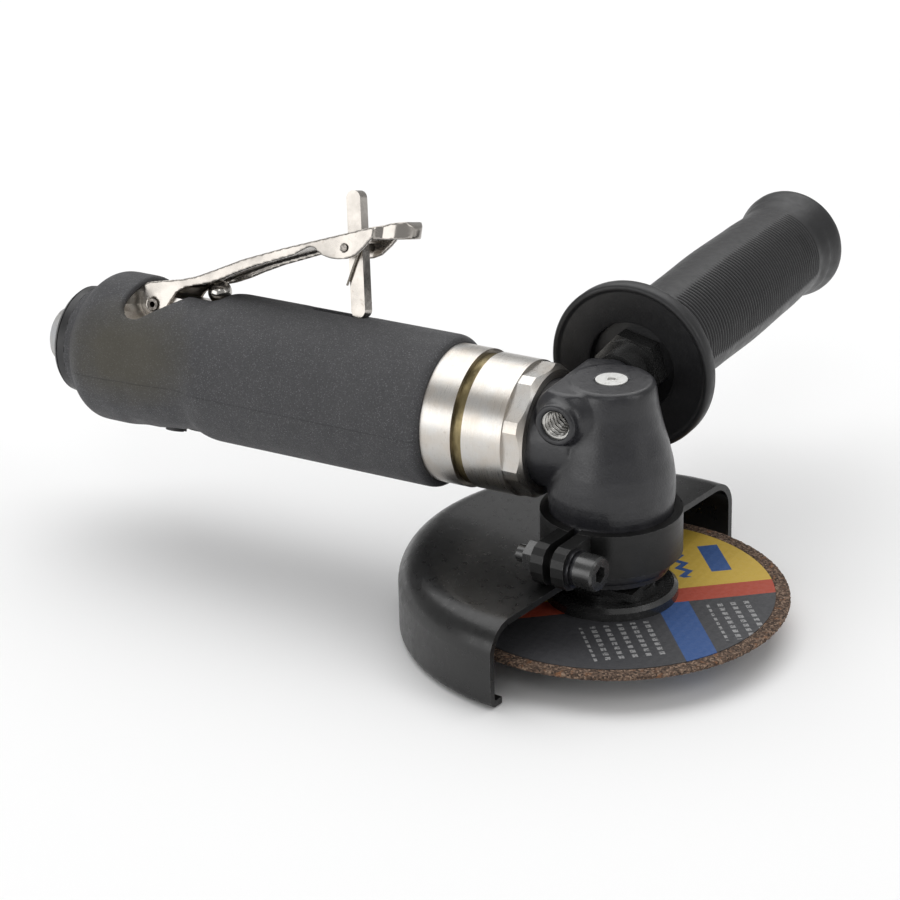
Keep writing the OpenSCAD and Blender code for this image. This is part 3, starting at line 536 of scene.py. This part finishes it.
@surface
def label_paper():
    """Printed label: dark grey with plain yellow, red and blue fields and short pale bars for print."""
    s = Surface("label_paper", (0.075, 0.075, 0.08), 0.55)
    x, y, _ = s.axes()
    # u runs across the printed bands and t along them
    lean = math.radians(39.5)
    t = s.math("ADD", s.math("MULTIPLY", x, math.cos(lean)), s.math("MULTIPLY", y, math.sin(lean)))
    u = s.math("ADD", s.math("MULTIPLY", x, -math.sin(lean)), s.math("MULTIPLY", y, math.cos(lean)))

    def over(value, edge):
        return s.math("GREATER_THAN", value, edge)

    def band(value, low, high):
        return s.math("MULTIPLY", over(value, low), s.math("LESS_THAN", value, high))

    def area(t_low, t_high, u_low, u_high):
        return s.math("MULTIPLY", band(t, t_low, t_high), band(u, u_low, u_high))

    red_edge, yellow_edge = -10.6, -2.35
    blue = (0.030, 0.085, 0.25)
    base = s.mix(s.noise(1.1, 4, 0.7), (0.036, 0.037, 0.041), (0.062, 0.062, 0.067))
    base = s.mix(over(u, red_edge), base, (0.40, 0.060, 0.030))
    base = s.mix(over(u, yellow_edge), base, (0.56, 0.38, 0.055))
    base = s.mix(area(10.4, 19.8, -60.0, red_edge), base, blue)
    # A blue block and a zigzag stripe on the yellow, with no lettering
    base = s.mix(area(31.0, 37.0, 6.0, 23.0), base, blue)
    zigzag = s.math("ADD", s.math("PINGPONG", u, 2.6), 21.0)
    stripe = band(s.math("SUBTRACT", t, zigzag), 0.0, 2.4)
    base = s.mix(s.math("MULTIPLY", stripe, band(u, 4.0, 34.0)), base, blue)
    # Pale rows of short bars
    row = s.math("PINGPONG", s.math("ADD", t, 50.0), 1.9)
    bars = s.math("MULTIPLY", over(row, 1.15), band(s.math("FRACT", s.math("DIVIDE", u, 2.7)), 0.18, 0.80))
    place = s.math("MAXIMUM", area(-14.0, 8.0, -40.0, -20.0), area(24.0, 38.0, -36.0, -14.0))
    bars = s.math("MULTIPLY", s.math("MULTIPLY", bars, place), over(s.noise(0.5, 2), 0.42))
    base = s.mix(s.math("MULTIPLY", bars, 0.7), base, (0.42, 0.42, 0.42))
    # Fibres of the reinforcing mesh press through the paper
    strands = [s.math("SINE", s.math("MULTIPLY", way, 2.1)) for way in (x, y)]
    mesh = s.math("MAXIMUM", *strands)
    wear = s.ramp(s.noise(0.6, 5, 0.75), (0.60, 0.0), (0.78, 0.5))
    s.set("Base Color", s.mix(wear, base, (0.16, 0.13, 0.11)))
    s.set("Roughness", s.ramp(s.noise(1.5, 3), (0.3, 0.48), (0.7, 0.68)))
    s.bump((mesh, 0.035), (s.noise(0.35, 3), 0.04))
    return s


# What each CAD node is finished with, where the record's slot isn't the whole answer
FINISH = {
    "spindle": "spindle_steel",
    "wheel_bush": "spindle_steel",
    "guard_collar": "collar_finish",
    "valve_button": "ball_steel",
    "handle_stud": "handle_steel",
    "thread_inserts": "handle_steel",
    "inner_flange": "flange_oxide",
    "clamp_screw": "flange_oxide",
    "clamp_nut": "flange_oxide",
    "handle_nut": "flange_oxide",
    "inlet_bushing": "machined_steel",
}


def dress():
    """Gives every CAD node its material."""
    for sub in frame["record"]["subparts"]:
        node = sub["node"]
        chosen = MATERIALS[FINISH.get(node, sub["material_slot"])].material
        data = nodes[node].data
        data.materials.clear()
        data.materials.append(chosen)


dress()


# Edge rounding -------------------------------------------------------------------------------

def soften(node, width, angle=35, segments=3):
    """Small real rounds along a CAD node's sharp edges."""
    item = nodes[node]
    bevel = item.modifiers.new("rounding", "BEVEL")
    bevel.width = width * MM
    bevel.segments = segments
    bevel.limit_method = "ANGLE"
    bevel.angle_limit = math.radians(angle)
    bevel.harden_normals = False


ROUNDED = {
    "coupling_nut": 0.35, "front_retainer": 0.3, "spacer_ring": 0.1, "rear_cap": 0.25,
    "inner_flange": 0.25, "guard_collar": 0.35, "clamp_screw": 0.15, "clamp_nut": 0.2, "clamp_washers": 0.12,
    "handle_nut": 0.35, "lock_lever": 0.45, "outer_flange": 0.25, "wheel_nut": 0.25, "inlet_bushing": 0.25,
    "bearing_cap": 0.2, "grease_fitting": 0.08,
}
for name, width in ROUNDED.items():
    soften(name, width)


# Rounded copies of CAD shapes ------------------------------------------------------------------

def place(piece, body, slot, *replaced):
    """Puts a new piece in the scene, on its body and in place of CAD nodes."""
    bpy.context.scene.collection.objects.link(piece)
    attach(piece, body)
    if replaced:
        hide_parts(*replaced)


def melted(node, body, slot, voxel, passes):
    """A copy of a CAD node with every sharp edge and inner corner rounded off."""
    piece = bpy.data.objects.new(node + "_skin", nodes[node].data.copy())
    remesh = piece.modifiers.new("remesh", "REMESH")
    remesh.mode = "VOXEL"
    remesh.voxel_size = voxel * MM
    remesh.use_smooth_shade = True
    smooth = piece.modifiers.new("smooth", "SMOOTH")
    smooth.factor = 0.5
    smooth.iterations = passes
    place(piece, body, slot, node)


melted("grip_sleeve", "motor", "sleeve_rubber", 0.55, 3)
melted("head_housing", "motor", "head_paint", 0.5, 5)
melted("throttle_lever", "throttle", "lever_nickel", 0.35, 5)


# Turned and threaded pieces ----------------------------------------------------------------------

def grid_mesh(name, rows, material, loop):
    """A mesh from rows of points, each row closed round. loop joins the last row to the first."""
    sides = len(rows[0])
    points = [tuple(MM * c for c in point) for row in rows for point in row]
    faces = []
    for i in range(len(rows) if loop else len(rows) - 1):
        a, b = i * sides, (i + 1) % len(rows) * sides
        faces += [(a + j, a + (j + 1) % sides, b + (j + 1) % sides, b + j) for j in range(sides)]
    if not loop:
        faces += [tuple(range(sides))[::-1], tuple(range((len(rows) - 1) * sides, len(rows) * sides))]
    mesh = bpy.data.meshes.new(name)
    mesh.from_pydata(points, [], faces)
    mesh.shade_smooth()
    mesh.set_sharp_from_angle(angle=math.radians(40))
    mesh.materials.append(MATERIALS[material].material)
    return bpy.data.objects.new(name, mesh)


def round_handle(y, radius, angle):
    """A point at an angle round the side handle's axis, from +X towards +Z, in mm."""
    return (HANDLE_X / MM + radius * math.cos(angle), y, HANDLE_Z / MM + radius * math.sin(angle))


def smooth_step(t):
    """A soft step from 0 to 1 as t goes from 0 to 1."""
    t = min(max(t, 0.0), 1.0)
    return t * t * (3 - 2 * t)


def grip_radius(y):
    """Radius of the hand grip between its stop and its free end."""
    line = [(35.5, 15.7), (42, 14.8), (54, 15.2), (66, 15.7),
            (90, 16.1), (115, 15.7), (132, 15.2), (137.5, 16.1)]
    for (y0, r0), (y1, r1) in zip(line, line[1:]):
        if y <= y1:
            return r0 + (r1 - r0) * smooth_step((y - y0) / (y1 - y0))
    return line[-1][1]


def make_grip():
    """The hand grip, with a fine-ribbed panel on two sides and smooth rubber between them."""
    sides, depth, swell = 120, 0.7, 0.12
    panel_middle, panel_half = math.radians(PANEL_MIDDLE), math.radians(PANEL_HALF)
    side_fade, end_fade = math.radians(7), 2
    stop = [(31.5, 4.0), (31.5, 12.9), (31.3, 13.1), (28.9, 13.3), (28.5, 13.8), (28.5, 22.4), (28.3, 22.9),
            (27.7, 23.3), (27.5, 23.8), (27.6, 24.4), (27.9, 24.8), (28.5, 25.1), (31.4, 25.1), (32.1, 24.8),
            (32.5, 24.1), (32.8, 21.5), (33.2, 19.0), (33.9, 17.2)]
    end = [(139.2, 16.6), (140.6, 16.95), (142.0, 17.2), (143.3, 17.2), (144.2, 16.8), (144.8, 16.0),
           (145.0, 14.8), (145.0, 9.0), (145.0, 0.4)]
    rows = [[round_handle(y, r, math.tau * j / sides) for j in range(sides)] for y, r in stop]
    y = 35.5
    while y < 137.6:
        row = []
        for j in range(sides):
            angle = math.tau * j / sides
            off = abs((angle - panel_middle + math.pi / 2) % math.pi - math.pi / 2)
            inside = smooth_step((panel_half - off) / side_fade)
            inside *= smooth_step((y - PANEL_LOW) / end_fade) * smooth_step((PANEL_HIGH - y) / end_fade)
            groove = (0.5 - 0.5 * math.cos(math.tau * y / RIB_PITCH)) ** 1.6
            row.append(round_handle(y, grip_radius(y) + inside * (swell - depth * groove), angle))
        rows.append(row)
        y += RIB_PITCH / 6
    rows += [[round_handle(y, r, math.tau * j / sides) for j in range(sides)] for y, r in end]
    place(grid_mesh("ribbed_grip", rows, "grip_rubber", False), "motor", "grip_rubber", "handle_grip")


def make_threads():
    """The two threaded inserts, with real thread turns in their bores."""
    sides, pitch = 64, 1.6
    crest, root, outside = 3.45, 4.25, 4.7
    near, deep, chamfer = 17.9, 6.9, 0.25
    low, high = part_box("thread_inserts")
    reach = (Vector(high).y - Vector(low).y) / 2 / MM
    near = min(near, reach)
    steps = int((near - deep) / pitch * 10)
    pieces = []
    for side in (1, -1):
        rows = []
        for y, r in ((deep, outside), (near - chamfer, outside), (near, outside - chamfer)):
            rows.append([round_handle(side * y, r, math.tau * j / sides) for j in range(sides)])
        for i in range(steps + 1):
            y = near - (near - deep) * i / steps
            row = []
            for j in range(sides):
                turn = (y / pitch + side * j / sides) % 1.0
                flank = min(max(1.35 - 3.4 * abs(turn - 0.5), 0.0), 1.0)
                r = crest + (root - crest) * (1 - flank)
                row.append(round_handle(side * y, r, math.tau * j / sides))
            rows.append(row)
        rows.append([round_handle(side * deep, crest + 0.2, math.tau * j / sides) for j in range(sides)])
        piece = grid_mesh("insert_left" if side > 0 else "insert_right", rows, "handle_steel", True)
        if side < 0:
            piece.data.flip_normals()
        pieces.append(piece)
    place(pieces[0], "motor", "bright_steel", "thread_inserts")
    place(pieces[1], "motor", "bright_steel")


def make_wheel():
    """The bonded wheel, with a crumbly grain on its bare rim."""
    sides, steps = 1080, 7
    # The rim's rounding, the step down to the label and how far the wheel's body lies under the label
    rim_round, label_step, sunk = 0.3, 0.25, 0.2
    rim, label = WHEEL_R / MM, LABEL_R / MM + 0.15
    low, high, bore = WHEEL_LOW.z / MM, WHEEL_HIGH.z / MM, 6.0
    inner = label + label_step
    flat = [inner + (rim - rim_round - inner) * i / steps for i in range(steps + 1)]
    profile = [(bore, low + sunk), (label, low + sunk)] + [(r, low) for r in flat]
    profile += [(rim, low + rim_round), (rim, (low + high) / 2), (rim, high - rim_round)]
    profile += [(r, high) for r in flat[::-1]] + [(label, high - sunk), (bore, high - sunk)]
    rows = []
    for r, z in profile:
        row = []
        for j in range(sides):
            angle = math.tau * j / sides
            spot = Vector((r * math.cos(angle), r * math.sin(angle), z))
            if r > label:
                grit = noise.noise(spot * 1.9)
                out = noise.noise(spot * 1.3 + Vector((7.0, 3.0, 5.0)))
                side = 1.0 if z > (low + high) / 2 else -1.0
                spot.z += side * (0.12 * grit - 0.08)
                scale = 1 + (0.28 * out - 0.15) / r if r > rim - 0.6 else 1
                spot.x *= scale
                spot.y *= scale
            row.append(tuple(spot))
        rows.append(row)
    place(grid_mesh("bonded_wheel", rows, "abrasive", True), "spindle", "abrasive", "cutting_wheel")


make_grip()
make_threads()
make_wheel()


# Floor and light -----------------------------------------------------------------------------

def make_floor():
    """A plain pale floor just under the lowest point of the tool."""
    reach, gap = 6.0, 0.5 * MM
    z = cad_box[0].z - gap
    corners = [(-reach, -reach, z), (reach, -reach, z), (reach, reach, z), (-reach, reach, z)]
    mesh = bpy.data.meshes.new("floor")
    mesh.from_pydata(corners, [], [(0, 1, 2, 3)])
    floor = bpy.data.objects.new("floor", mesh)
    bpy.context.scene.collection.objects.link(floor)
    s = Surface("floor", (0.90, 0.90, 0.90), 0.9)
    mesh.materials.append(s.material)


def area_light(name, at, target, size, power):
    """A rectangular panel that faces target, size metres across and up, with power in watts."""
    data = bpy.data.lights.new(name, "AREA")
    data.shape = "RECTANGLE"
    data.size, data.size_y = size
    data.energy = power
    light = bpy.data.objects.new(name, data)
    light.location = at
    light.rotation_euler = (Vector(target) - Vector(at)).to_track_quat("-Z", "Y").to_euler()
    bpy.context.scene.collection.objects.link(light)


def make_light():
    """Soft white surroundings and four panels."""
    world = bpy.data.worlds.new("studio")
    bpy.context.scene.world = world
    world.use_nodes = True
    world.node_tree.nodes["Background"].inputs["Color"].default_value = (1, 1, 1, 1)
    world.node_tree.nodes["Background"].inputs["Strength"].default_value = 0.40
    look = (-0.05, 0.0, 0.04)
    # A broad panel overhead and a standing one on the left leave a dark gap between their reflections
    area_light("overhead", (-0.45, 0.55, 1.45), look, (2.4, 1.9), 25.5)
    area_light("left", (-0.62, -1.15, 0.30), look, (1.2, 0.62), 4.4)
    area_light("right", (1.15, 0.05, 0.70), look, (0.5, 1.0), 2.8)
    area_light("front", (0.55, -1.5, 1.6), look, (0.8, 0.8), 3.5)


make_floor()
make_light()
bpy.context.scene.view_settings.view_transform = "Standard"
